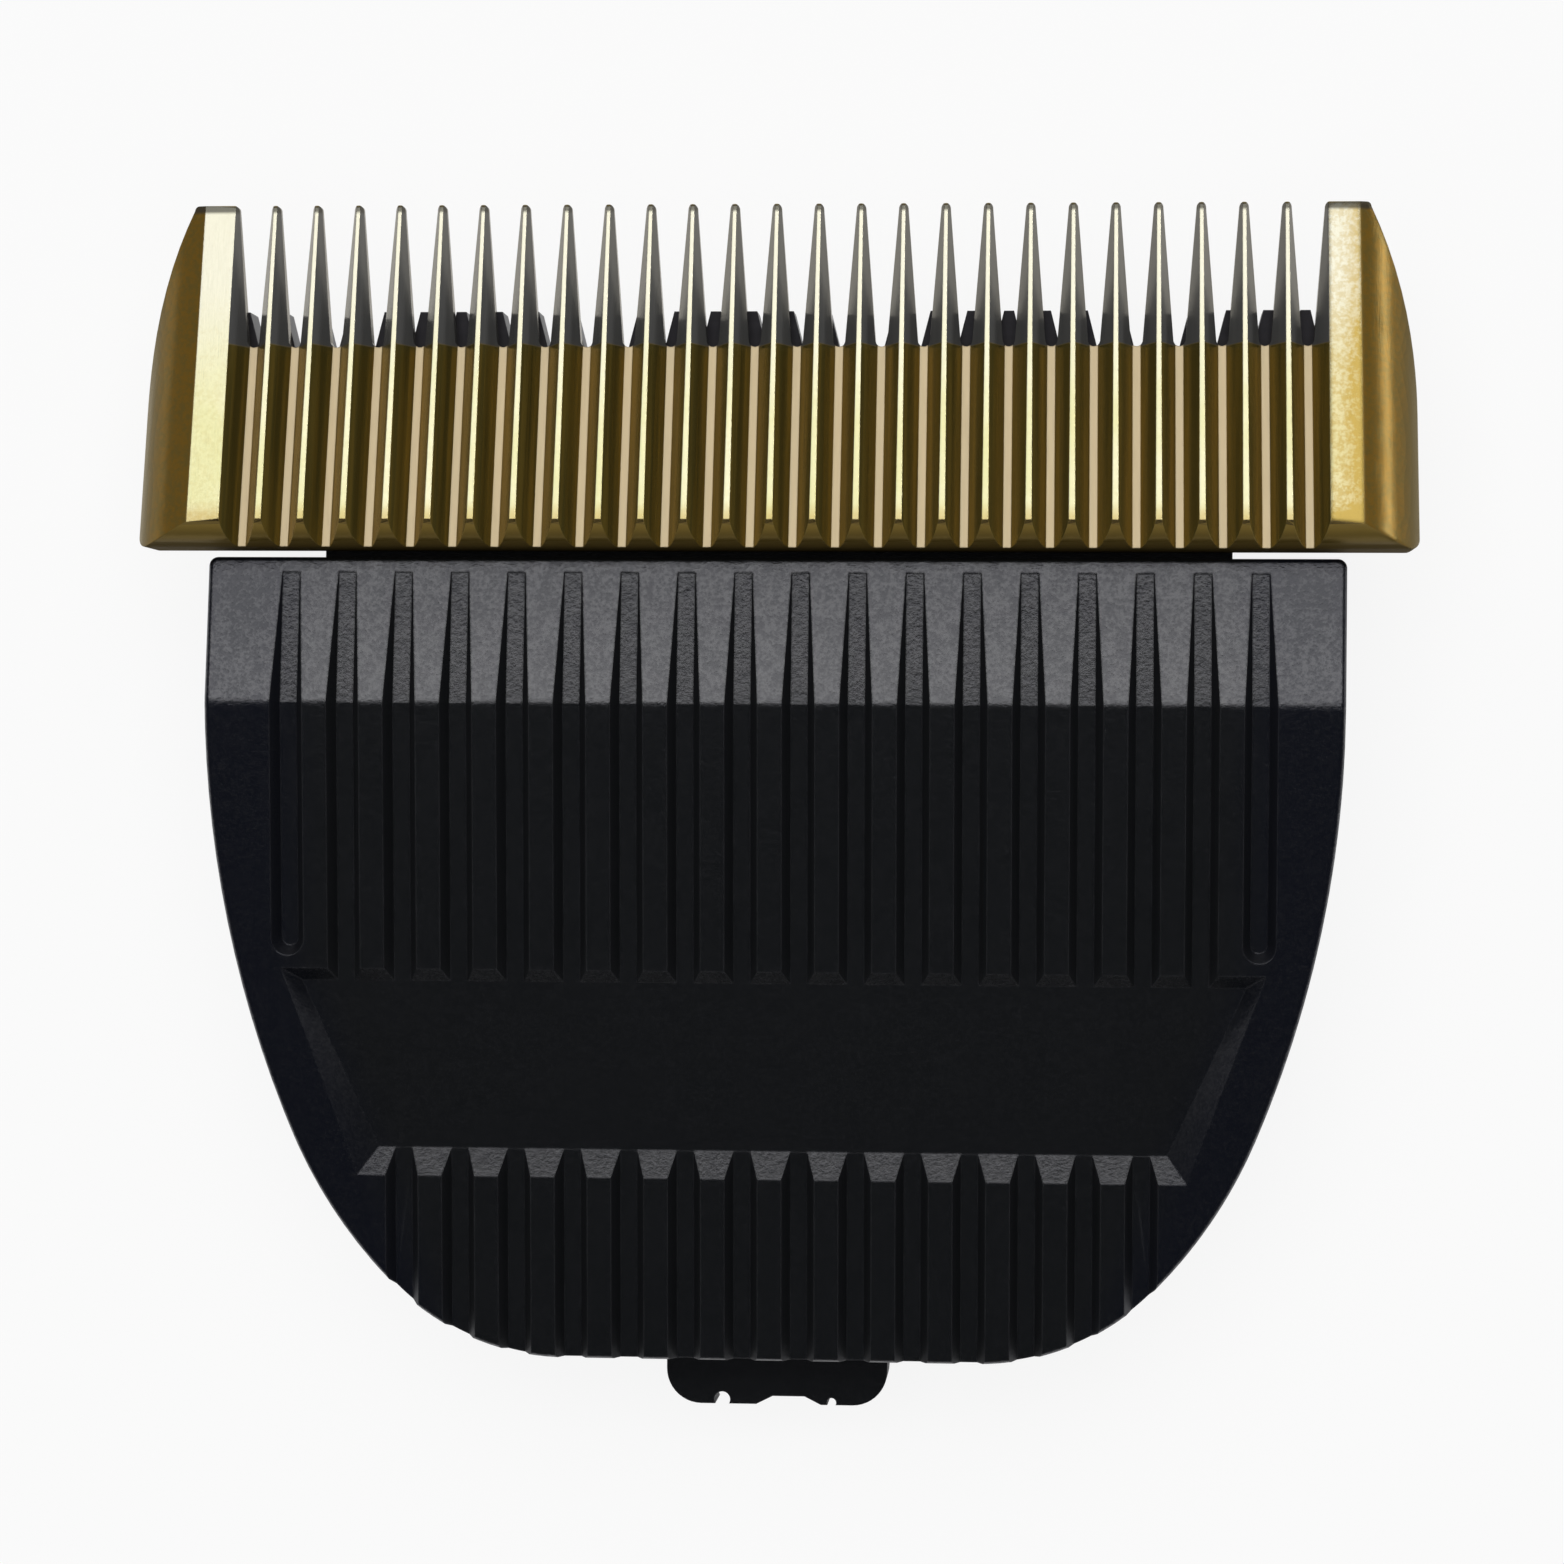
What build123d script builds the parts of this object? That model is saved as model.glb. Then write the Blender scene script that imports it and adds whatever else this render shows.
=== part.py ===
from build123d import *
import os
from math import atan2, cos, radians, sin, sqrt, tan

os.makedirs("parts", exist_ok=True)

# Lies on its back: X along the tooth row, +Y to the tooth tips, +Z out of the ribbed face.
# Working origin: y 0 is the housing's upper edge, z 0 its rear rim. Millimetres and degrees.

# comb blade
tooth_pitch = 1.40
narrow_teeth = 25
comb_height = 11.52
comb_gap = 0.28
comb_slope = 14.2
tip_thick = 0.40
tip_width = 0.31
tip_round = 0.18
tip_nose = 0.18
slot_depth = 4.75
slot_root_r = 0.20
crest_width = 0.21
floor_width = 0.27
groove_depth = 1.12
groove_slope = 14.7
land_width = 1.08
land_tilt = 3.0
side_bevel = 1.90
side_round = 2.89
side_tilt = 15
side_turn = 60
side_start = 4.50
end_bevel = 0.38
end_corner_r = 0.15
comb_corner_r = 0.35
chamfer_run = 0.88
chamfer_drop = 1.05
chamfer_bulge = 0.24

# cutter blade
cut_teeth = 30
cut_pitch = 1.218
cut_thick = 1.30
cut_tip = 0.33
cut_flank = 14.3
cut_tooth_depth = 1.30
cut_setback = 3.52
cut_end = 0.75
cut_shift = -0.22
cut_clear = 0.02
relief_depth = 0.20
relief_width = 1.60
relief_above_heel = 1.00

# housing shell: each bend of the outline is a radius and the angle it turns
house_height = 26.5
house_half = 18.76
side_taper = 0.08
outline_bends = ((36.9, 22.4), (15.7, 22.6), (8.0, 45.0))
house_corner_r = 0.30
room_corner_r = 0.80
edge_round = 0.18
wall = 1.50
face_thick = 1.75
seat_height = 6.80
strip_step = 1.45
strip_slope = 12.4
face_slope = 4.4
crease_y = 4.83
crease_r = 1.00

# ribs of the face
rib_pitch = 1.878
rib_grooves = 18
lower_grooves = 14
rib_floor = 0.56
rib_wall = 0.26
rib_depth = 0.55
rib_start = 0.50
rib_start_depth = 0.04
blind_end = 12.60

# sunk panel
panel_top = 13.60
panel_height = 6.85
panel_half_top = 16.20
panel_half_bottom = 13.66
panel_bevel_top = 0.45
panel_bevel_side = 0.62
panel_bevel_bottom = 0.83

# comb seat and cheeks
seat_half = 15.1
seat_reach = 2.90
seat_thick = 1.90
cheek_thick = 1.60
cheek_reach = 4.60
rail_half = 5.00
rail_width = 1.00
rail_height = 0.55
rail_y = 1.50

# hook tongue
hook_half = 3.75
hook_reach = 2.00
hook_thick = 1.90
hook_front = 2.90
hook_corner_r = 1.18
notch_x = 1.86
notch_r = 0.27
notch_small_r = 0.16
hook_relief = 0.28
hook_relief_half = 1.10
hook_relief_x = 0.40
barb_depth = 0.80
barb_width = 0.90
barb_chamfer = 0.25

# cutter carrier
carrier_half = 8.80
carrier_thick = 2.30
carrier_margin = 0.40
carrier_corner_r = 0.80
carrier_edge_r = 0.30
bridge_half = 4.90
bridge_low = 1.40
slide_gap = 0.30
rail_gap = 0.06
peg_x = 6.60
peg_r = 0.90
peg_gap = 0.05
peg_short = 0.30
slot_width = 5.20
jaw_wall = 1.90
jaw_length = 5.20
jaw_rear = 0.90
lead_in = 0.50

# tension spring
wire_r = 0.45
arm_x = 7.40
bend_r = 1.60
spring_low = 8.60
spring_gap = 0.05
arm_tip = 1.70
arm_knee = 1.20
arm_step = 3.00
tail_run = 1.30
tail_drop = 0.75

# retainer, its boss, and screws
retainer_half = 6.00
retainer_edge = 0.40
retainer_thick = 0.80
retainer_corner_r = 0.80
boss_edge = 1.00
post_x = 3.60
post_r = 1.80
screw_r = 1.00
screw_head_r = 1.75
screw_head = 1.10
screw_round = 0.45
screw_point = 0.25
screw_gap = 0.04
screw_clear = 0.10
screw_cross = 0.40
screw_cross_reach = 0.95
screw_cross_depth = 0.50
hole_spare = 0.10
comb_screw_room = 0.35
comb_screw_grip = 1.35
retainer_screw_grip = 2.20

# overshoot of cutting bodies past what they cut, and sinking of joined bodies
over = 2.0
sink = 0.4

# derived places
slots = narrow_teeth + 1
comb_y0 = comb_gap
comb_y1 = comb_y0 + comb_height
flank = (tooth_pitch - crest_width - floor_width) / 2
land_in = (slots - 1) / 2 * tooth_pitch + floor_width / 2 + flank
land_out = land_in + land_width
comb_half = land_out + side_bevel
end_x = land_out + end_bevel
side_straight = house_height
turned = 0
for bend, angle in outline_bends:
    side_straight -= bend * (sin(radians(turned + angle)) - sin(radians(turned)))
    turned += angle
crease_z = seat_height + strip_step + crease_y * tan(radians(strip_slope))
panel_bottom = panel_top + panel_height
seat_back = seat_height - seat_thick
cut_top = seat_height - cut_clear
cut_back = cut_top - cut_thick
heel_y = seat_reach + slide_gap
cut_y1 = comb_y1 - cut_setback
cut_root_y = cut_y1 - cut_tooth_depth
carrier_y1 = cut_root_y - carrier_margin
carrier_back = cut_back - carrier_thick
peg_y = (heel_y + carrier_y1) / 2
bridge_front = seat_back - slide_gap
wire_z = bridge_front - wire_r
boss_back = wire_z + wire_r + spring_gap
plate_front = wire_z - wire_r - spring_gap
comb_screw_x = seat_half - cheek_thick - comb_screw_room - screw_head_r
comb_screw_y = (comb_y0 + seat_reach) / 2
post_y = -(spring_low + wire_r + spring_gap + post_r)


def box(x0, x1, y0, y1, z0, z1):
    return Pos((x0 + x1) / 2, (y0 + y1) / 2, (z0 + z1) / 2) * Box(x1 - x0, y1 - y0, z1 - z0)


def across(y):
    return Plane((0, y, 0), x_dir=(1, 0, 0), z_dir=(0, -1, 0))


def drawn_along_x(edges, half):
    face = make_face([Plane.YZ * e for e in edges])
    return extrude(face, amount=half, dir=(1, 0, 0), both=True)


def corner(cx, cy, r, a0, a1):
    pts = [(cx + r * cos(radians(a)), cy + r * sin(radians(a))) for a in (a0, (a0 + a1) / 2, a1)]
    return ThreePointArc(*pts)


# arc from a to b whose middle stands off the chord by bulge, to the left of the way
def bowed(a, b, bulge):
    length = sqrt((b[0] - a[0]) ** 2 + (b[1] - a[1]) ** 2)
    mid = ((a[0] + b[0]) / 2 - bulge * (b[1] - a[1]) / length,
           (a[1] + b[1]) / 2 + bulge * (b[0] - a[0]) / length)
    return ThreePointArc(a, mid, b)


def crest_z(y):
    return seat_height + tip_thick + (comb_y1 - y) * tan(radians(comb_slope))


# one side of the comb in plan: straight, then an arc in to the end tooth
def comb_side(s):
    low = comb_y0 + comb_corner_r
    start = comb_y0 + side_start
    top = comb_y1 - end_corner_r
    dx = comb_half - end_x
    r = (dx ** 2 + (top - start) ** 2) / (2 * dx)
    half = atan2(top - start, r - dx) / 2
    tip_x = end_x - end_corner_r
    return [
        corner(s * (comb_half - comb_corner_r), low, comb_corner_r, -90, 0 if s > 0 else -180),
        Line((s * comb_half, low), (s * comb_half, start)),
        ThreePointArc((s * comb_half, start), (s * (comb_half - r * (1 - cos(half))), start + r * sin(half)),
                      (s * end_x, top)),
        corner(s * tip_x, top, end_corner_r, 0 if s > 0 else 180, 90),
        Line((s * tip_x, comb_y1), (s * slots / 2 * tooth_pitch, comb_y1)),
    ]


# one slot between two teeth, with half of each rounded tip beside it
def comb_slot(x):
    r = tip_width / 2
    h = tooth_pitch / 2
    y = comb_y1 - slot_depth + slot_root_r
    return [
        corner(x - h, comb_y1 - r, r, 90, 0),
        Line((x - h + r, comb_y1 - r), (x - slot_root_r, y)),
        corner(x, y, slot_root_r, 180, 360),
        Line((x + slot_root_r, y), (x + h - r, comb_y1 - r)),
        corner(x + h, comb_y1 - r, r, 180, 90),
    ]


def comb_plan():
    edges = comb_side(1) + comb_side(-1)
    for i in range(slots):
        edges += comb_slot((i - (slots - 1) / 2) * tooth_pitch)
    foot = comb_half - comb_corner_r
    edges.append(Line((-foot, comb_y0), (foot, comb_y0)))
    return make_face(edges)


# direction down a slope towards the tooth tips
def downhill(slope):
    return Vector(0, cos(radians(slope)), -sin(radians(slope)))


# all that lies under the comb's crests, its leaning lands and its rounded sides
def comb_wedge():
    y = comb_y0 - over
    top = crest_z(y)
    edge = top - land_width * tan(radians(land_tilt))
    cx = land_out - side_round * sin(radians(side_tilt))
    cz = edge - side_round * cos(radians(side_tilt))
    end = side_tilt + side_turn
    x = cx + side_round * sin(radians(end))
    z = cz + side_round * cos(radians(end))
    edges = [
        corner(cx, cz, side_round, 90 - end, 90 - side_tilt),
        Polyline((land_out, edge), (land_in, top), (-land_in, top), (-land_out, edge)),
        corner(-cx, cz, side_round, 90 + side_tilt, 90 + end),
        Polyline((-x, z), (-x, 0), (x, 0), (x, z)),
    ]
    section = make_face([across(y) * e for e in edges])
    run = downhill(comb_slope)
    return extrude(section, amount=(comb_height + 2 * over) / run.Y, dir=run)


# grooves between the crests: ground a little steeper, so that the crests thin towards the tips
def comb_grooves():
    y = comb_y0 - over
    low = crest_z(comb_y0) - groove_depth + over * tan(radians(groove_slope))
    half = floor_width / 2
    wide = half + flank * (groove_depth + sink) / groove_depth
    run = downhill(groove_slope)
    cuts = []
    for i in range(slots):
        x = (i - (slots - 1) / 2) * tooth_pitch
        pts = [(x - half, low), (x + half, low), (x + wide, low + groove_depth + sink),
               (x - wide, low + groove_depth + sink)]
        section = make_face(across(y) * Polyline(*pts, close=True))
        cuts.append(extrude(section, amount=(comb_height + 2 * over) / run.Y, dir=run))
    return cuts


# what is cut away at the rounded lower edge of the comb
def comb_low_cut():
    y = comb_y0 + chamfer_run
    z = crest_z(y)
    low = z - chamfer_drop
    out = comb_y0 - over
    edges = [
        bowed((comb_y0, low), (y, z), chamfer_bulge),
        Polyline((y, z), (y, z + over), (out, z + over), (out, low), (comb_y0, low)),
    ]
    return drawn_along_x(edges, comb_half + over)


# what is cut away over the rounded tooth tips
def comb_tip_cut():
    y = comb_y1 - tip_round
    z = crest_z(y)
    low = seat_height + tip_nose
    out = comb_y1 + over
    edges = [
        bowed((y, z), (comb_y1, low), tip_nose / 2),
        Polyline((comb_y1, low), (out, low), (out, z + over), (y, z + over), (y, z)),
    ]
    return drawn_along_x(edges, comb_half + over)


def comb_blade():
    body = Pos(0, 0, seat_height) * extrude(comb_plan(), amount=crest_z(comb_y0))
    body = body & comb_wedge()
    body -= [comb_low_cut(), comb_tip_cut()] + comb_grooves()
    hole = Cylinder(screw_r + screw_gap, (comb_screw_grip + hole_spare) * 2)
    for s in (-1, 1):
        body -= Pos(s * comb_screw_x, comb_screw_y, seat_height) * hole
    return body


def cutter_blade():
    row = (cut_teeth - 1) / 2 * cut_pitch
    base = cut_tip / 2 + cut_tooth_depth * tan(radians(cut_flank))
    end = row + cut_end
    pts = [(-end, heel_y), (-end, cut_root_y)]
    for i in range(cut_teeth):
        x = i * cut_pitch - row
        pts += [(x - base, cut_root_y), (x - cut_tip / 2, cut_y1)]
        pts += [(x + cut_tip / 2, cut_y1), (x + base, cut_root_y)]
    pts += [(end, cut_root_y), (end, heel_y)]
    body = Pos(0, 0, cut_back) * extrude(make_face(Polyline(*pts, close=True)), amount=cut_thick)
    y = heel_y + relief_above_heel
    body -= box(-end - over, end + over, y, y + relief_width, cut_top - relief_depth, cut_top + over)
    for s in (-1, 1):
        body -= Pos(s * peg_x, peg_y, cut_back) * Cylinder(peg_r + peg_gap, cut_thick * 3)
    return Pos(cut_shift, 0, 0) * body


# the two jaws that take the drive pin, chamfered at their rear mouth
def drive_jaws():
    half = slot_width / 2
    low = -bridge_low - jaw_length
    jaws = box(-half - jaw_wall, half + jaw_wall, low, sink - bridge_low, jaw_rear, bridge_front)
    jaws = fillet(jaws.edges().filter_by(Axis.Z).group_by(Axis.Y)[0], carrier_corner_r)
    jaws -= box(-half, half, low - over, -bridge_low, jaw_rear - over, bridge_front + over)
    mouth = jaws.faces().sort_by(Axis.Z)[0].edges().filter_by(Axis.Y)
    mouth = [e for e in mouth if abs(e.center().X) < half + jaw_wall / 2]
    return chamfer(mouth, lead_in)


def cutter_carrier():
    body = box(-carrier_half, carrier_half, heel_y, carrier_y1, carrier_back, cut_back)
    body = fillet(body.edges().filter_by(Axis.Z), carrier_corner_r)
    body = fillet(body.faces().sort_by(Axis.Z)[0].edges(), carrier_edge_r)
    body += box(-bridge_half, bridge_half, -bridge_low, heel_y + 2 * sink, carrier_back, bridge_front)
    body += drive_jaws()
    groove = rail_width / 2 + rail_gap
    floor = seat_back - rail_height - rail_gap
    end = bridge_half + over
    body -= box(-end, end, rail_y - groove, rail_y + groove, floor, bridge_front + over)
    peg = cut_thick - peg_short
    for s in (-1, 1):
        body += Pos(s * peg_x, peg_y, cut_back + (peg - sink) / 2) * Cylinder(peg_r, peg + sink)
    return Pos(cut_shift, 0, 0) * body


# straight runs of wire joined by arcs
def wire_path(pts, r):
    pts = [Vector(*p) for p in pts]
    edges = []
    last = pts[0]
    for before, at, after in zip(pts, pts[1:], pts[2:]):
        a = (before - at).normalized()
        b = (after - at).normalized()
        half = radians(a.get_angle(b)) / 2
        back = r / tan(half)
        mid = at + (a + b).normalized() * (r / sin(half) - r)
        edges.append(Line(last, at + a * back))
        edges.append(ThreePointArc(at + a * back, mid, at + b * back))
        last = at + b * back
    edges.append(Line(last, pts[-1]))
    return Wire(edges)


# one wire: down the right arm, across under the retainer, up the left arm
def tension_spring():
    pad_z = carrier_back - wire_r - spring_gap
    tip = heel_y + arm_tip
    knee = heel_y - arm_knee
    arm = [(tip + tail_run, pad_z - tail_drop), (tip, pad_z), (knee, pad_z), (knee - arm_step, wire_z),
           (-spring_low, wire_z)]
    right = [(arm_x, y, z) for y, z in arm]
    left = [(-arm_x, y, z) for y, z in reversed(arm)]
    path = wire_path(right + left, bend_r)
    start = Plane(path @ 0, z_dir=path % 0)
    return sweep(start * Circle(wire_r), path=path)


def spring_retainer():
    y1 = -spring_low + wire_r + retainer_edge
    y0 = post_y - screw_head_r - retainer_edge
    plate = box(-retainer_half, retainer_half, y0, y1, plate_front - retainer_thick, plate_front)
    plate = fillet(plate.edges().filter_by(Axis.Z), retainer_corner_r)
    for s in (-1, 1):
        plate -= Pos(s * post_x, post_y, plate_front) * Cylinder(screw_r + screw_clear, retainer_thick * 4)
    return plate


# pan head below z 0 with a cross slot, shank above it
def screw(grip):
    head = Pos(0, 0, -screw_head / 2) * Cylinder(screw_head_r, screw_head)
    head = fillet(head.edges().group_by(Axis.Z)[0], screw_round)
    arm = Box(screw_cross, screw_cross_reach * 2, screw_cross_depth * 2)
    for turn in (0, 90):
        head -= Pos(0, 0, -screw_head) * Rot(0, 0, turn) * arm
    shank = Pos(0, 0, grip / 2) * Cylinder(screw_r, grip)
    return head + chamfer(shank.edges().group_by(Axis.Z)[-1], screw_point)


def comb_screws():
    one = screw(seat_thick + comb_screw_grip)
    return [Pos(s * comb_screw_x, comb_screw_y, seat_back) * one for s in (-1, 1)]


def retainer_screws():
    one = screw(retainer_thick + retainer_screw_grip)
    return [Pos(s * post_x, post_y, plate_front - retainer_thick) * one for s in (-1, 1)]


# outline of the housing, inset by d: straight sides, three arcs a side, flat foot
def house_face(d, corner_r):
    half = house_half - d
    edges = []
    for s in (-1, 1):
        x = s * (half - side_taper)
        y = -side_straight
        edges.append(Line((s * half, -d - corner_r), (x, y)))
        turned = 0
        for r, angle in outline_bends:
            cx = x - s * (r - d) * cos(radians(turned))
            cy = y + (r - d) * sin(radians(turned))
            steps = [radians(turned + angle * f) for f in (0, 0.5, 1)]
            pts = [(cx + s * (r - d) * cos(t), cy - (r - d) * sin(t)) for t in steps]
            edges.append(ThreePointArc(*pts))
            x, y = pts[2]
            turned += angle
        edges.append(Line((x, y), (0, y)))
        edges.append(corner(s * (half - corner_r), -d - corner_r, corner_r, 0 if s > 0 else 180, 90))
    edges.append(Line((corner_r - half, -d), (half - corner_r, -d)))
    return make_face(edges)


def face_z(y):
    if y > -crease_y:
        return crease_z + (-crease_y - y) * tan(radians(strip_slope))
    return crease_z + (y + crease_y) * tan(radians(face_slope))


# all that lies under the ribbed face, lowered by drop
def under_face(drop):
    y0 = over
    y1 = -house_height - over
    low = -over
    pts = [
        (y0, low),
        (y0, face_z(y0) - drop / cos(radians(strip_slope))),
        (-crease_y, crease_z - drop),
        (y1, face_z(y1) - drop / cos(radians(face_slope))),
        (y1, low),
    ]
    return drawn_along_x([Polyline(*pts, close=True)], house_half + over)


def house_shell():
    under = under_face(0)
    crease = under.edges().filter_by(Axis.X).sort_by(Axis.Z)[-1]
    block = extrude(house_face(0, house_corner_r), amount=crease_z + over) & fillet(crease, crease_r)
    rim = [e for e in block.edges() if e.center().Z > seat_height and abs(e.tangent_at(0.5).Z) < 0.6]
    block = fillet(rim, edge_round)
    room = Pos(0, 0, -over) * extrude(house_face(wall, room_corner_r), amount=crease_z + over)
    return block - (room & under_face(face_thick))


# one rib groove to cut: a trapezoid drawn from just before a to b, each a (y, floor z)
def groove_cut(x, a, b):
    run = Vector(0, b[0] - a[0], b[1] - a[1])
    at = Plane(Vector(x, a[0], a[1]) - run.normalized() * sink, x_dir=(1, 0, 0), z_dir=run)
    tall = 3 * rib_depth * (1 if at.y_dir.Z > 0 else -1)
    half = rib_floor / 2
    flare = half + 3 * rib_wall
    section = make_face(at * Polyline((-half, 0), (half, 0), (flare, tall), (-flare, tall), close=True))
    return extrude(section, amount=run.length + sink, dir=run)


def rib_cuts():
    cuts = []
    knee = (-crease_y, crease_z - rib_depth)
    start = (-rib_start, face_z(-rib_start) - rib_start_depth)
    for i in range(rib_grooves):
        x = (i - (rib_grooves - 1) / 2) * rib_pitch
        blind = i in (0, rib_grooves - 1)
        end = -blind_end if blind else -panel_top - panel_bevel_top - sink
        cuts.append(groove_cut(x, knee, start))
        cuts.append(groove_cut(x, knee, (end, face_z(end) - rib_depth)))
        if blind:
            tall = 3 * rib_depth
            cone = Cone(rib_floor / 2, rib_floor / 2 + 3 * rib_wall, tall)
            cuts.append(Pos(x, end, face_z(end) - rib_depth) * Rot(face_slope, 0, 0) * Pos(0, 0, tall / 2) * cone)
    a = panel_bevel_bottom - panel_bottom
    b = -house_height - over
    for i in range(lower_grooves):
        x = (i - (lower_grooves - 1) / 2) * rib_pitch
        cuts.append(groove_cut(x, (a, face_z(a) - rib_depth), (b, face_z(b) - rib_depth)))
    return cuts


# outline of the sunk panel at a level over the face: bevels widen it upward from its floor
def panel_ring(level):
    tilt = radians(face_slope)
    at = Plane((0, -panel_top, face_z(-panel_top)), x_dir=(1, 0, 0), z_dir=(0, -sin(tilt), cos(tilt)))
    tall = panel_height / cos(tilt)
    inset = -level / rib_depth
    top = panel_half_top - panel_bevel_side * inset
    low = panel_half_bottom - panel_bevel_side * inset
    y1 = -panel_bevel_top * inset
    y0 = panel_bevel_bottom * inset - tall
    return make_face(at * Pos(0, 0, level) * Polyline((-top, y1), (top, y1), (low, y0), (-low, y0), close=True))


def hook():
    top = seat_height - hook_front
    low = -house_height - hook_reach
    inner = wall / 2 - house_height
    r = hook_corner_r
    x = hook_half
    edges = [
        Line((-x, inner), (-x, low + r)),
        corner(r - x, low + r, r, 180, 270),
        Line((r - x, low), (x - r, low)),
        corner(x - r, low + r, r, 270, 360),
        Polyline((x, low + r), (x, inner), (-x, inner)),
    ]
    tongue = Pos(0, 0, top - hook_thick) * extrude(make_face(edges), amount=hook_thick)
    for nx, nr in ((-notch_x, notch_r), (notch_x, notch_small_r)):
        tongue -= Pos(nx, low + nr / 2, top) * Cylinder(nr, hook_thick * 3)
    half = hook_relief_half
    flat = half - 2 * hook_relief
    dip = [(-half, low - over), (-half, low), (-flat, low + hook_relief), (flat, low + hook_relief),
           (half, low), (half, low - over)]
    tongue -= Pos(hook_relief_x, 0, 0) * extrude(make_face(Polyline(*dip, close=True)), amount=top + over)
    edge = low + hook_relief + notch_r
    barb = box(r - x, x - r, edge, edge + barb_width, top - hook_thick - barb_depth, top - hook_thick / 2)
    return tongue + chamfer(barb.edges().filter_by(Axis.X).group_by(Axis.Z)[0], barb_chamfer)


# seat under the comb's lower strip, with a cheek at each end and the carrier's rail behind it
def comb_seat():
    back = -wall - sink
    seat = box(-seat_half, seat_half, back, seat_reach, seat_back, seat_height)
    cheek = box(seat_half - cheek_thick, seat_half, back, cheek_reach, 0, seat_back)
    rail = box(-rail_half, rail_half, rail_y - rail_width / 2, rail_y + rail_width / 2,
               seat_back - rail_height, seat_back)
    return seat + [cheek, mirror(cheek, about=Plane.YZ), rail]


# block and posts that carry the spring's crossbar and the retainer
def spring_boss():
    y1 = -spring_low + wire_r + retainer_edge
    y0 = post_y - post_r - retainer_edge
    half = arm_x + boss_edge
    boss = box(-half, half, y0, y1, boss_back, face_z(y0) - face_thick + sink)
    for s in (-1, 1):
        boss += Pos(s * post_x, post_y, (plate_front + boss_back) / 2) * Cylinder(post_r, boss_back - plate_front)
    return boss


def housing():
    window = seat_half - cheek_thick
    body = house_shell() - box(-window, window, -wall - over, over, -over, seat_back)
    body += comb_seat()
    body -= rib_cuts()
    body -= loft([panel_ring(-rib_depth), panel_ring(rib_depth)], ruled=True)
    body += hook()
    body += spring_boss()
    deep = Cylinder(screw_r + screw_gap, (retainer_screw_grip + hole_spare) * 2)
    through = Cylinder(screw_r + screw_clear, seat_thick * 3)
    for s in (-1, 1):
        body -= Pos(s * post_x, post_y, plate_front) * deep
        body -= Pos(s * comb_screw_x, comb_screw_y, seat_back) * through
    return body


nodes = {
    "housing": housing,
    "comb_blade": comb_blade,
    "cutter_blade": cutter_blade,
    "cutter_carrier": cutter_carrier,
    "tension_spring": tension_spring,
    "spring_retainer": spring_retainer,
    "comb_screws": comb_screws,
    "retainer_screws": retainer_screws,
}
centre_y = (comb_y1 - house_height - hook_reach) / 2
for name, make in nodes.items():
    shape = make()
    solids = shape if isinstance(shape, list) else shape.solids()
    export_step(Compound(children=[Pos(0, -centre_y, 0) * s for s in solids]), f"parts/{name}.step")
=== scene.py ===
import math

import bpy
from mathutils import Matrix, Vector


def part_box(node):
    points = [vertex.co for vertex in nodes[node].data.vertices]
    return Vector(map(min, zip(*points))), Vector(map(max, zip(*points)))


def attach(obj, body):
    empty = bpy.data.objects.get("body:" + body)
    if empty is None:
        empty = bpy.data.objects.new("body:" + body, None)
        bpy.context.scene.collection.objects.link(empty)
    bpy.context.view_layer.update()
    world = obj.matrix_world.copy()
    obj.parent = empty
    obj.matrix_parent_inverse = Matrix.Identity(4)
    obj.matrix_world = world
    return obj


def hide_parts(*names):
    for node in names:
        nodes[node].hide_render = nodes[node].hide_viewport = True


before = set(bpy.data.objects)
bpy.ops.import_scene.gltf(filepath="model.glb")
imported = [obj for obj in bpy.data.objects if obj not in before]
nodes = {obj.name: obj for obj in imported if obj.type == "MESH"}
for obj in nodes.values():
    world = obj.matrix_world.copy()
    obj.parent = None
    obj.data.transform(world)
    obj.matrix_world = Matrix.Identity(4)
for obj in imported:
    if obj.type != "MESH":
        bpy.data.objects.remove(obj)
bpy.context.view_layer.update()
MM = 0.001

# the photograph's camera: where it stands, how it is turned, its focal length in pixels of a square image
IMAGE_PX = 1564
FOCAL_PX = 3952.6
SENSOR_MM = 36.0
CAMERA_PLACE = Vector((9.4945, 0.983, 137.8)) * MM
CAMERA_PAN = -0.0704
CAMERA_ROLL = -0.0060

# places on the comb, in metres, from its box in the frame
comb_low, comb_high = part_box("comb_blade")
SEAT_Z = comb_low.z
COMB_SLOPE = math.radians(14.2)
SLOT_ROOT_Y = comb_high.y - 4.75 * MM
FLOOR_DEPTH = 1.12 * MM
LAND_OUT = comb_high.x - 1.90 * MM
LAND_IN = LAND_OUT - 1.08 * MM
HEEL_Y = comb_low.y + 0.88 * MM
CREST_TIP = 0.40 * MM
SOFT = 0.05 * MM

# places on the housing's face: the ends of its sloped strip, the upper edge of its sunk panel, its plain margin
STRIP_TOP_Y = 8.2 * MM
STRIP_LOW_Y = 3.8 * MM
PANEL_TOP_Y = -5.0 * MM
PANEL_SLANT = 0.40
MARGIN_FROM_X = 14.5 * MM
MARGIN_FULL_X = 17.0 * MM

# softboxes: place and size in metres, power in watts
KEY_SOFTBOX = ((-0.02, 0.334, 0.534), (0.60, 0.41), 1.32)
COMB_STRIP = ((0.526, 0.241, 0.159), (0.30, 0.10), 0.75)
OVERHEAD_FILL = ((0.0, 0.0, 0.80), (0.80, 0.80), 3.8)

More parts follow.
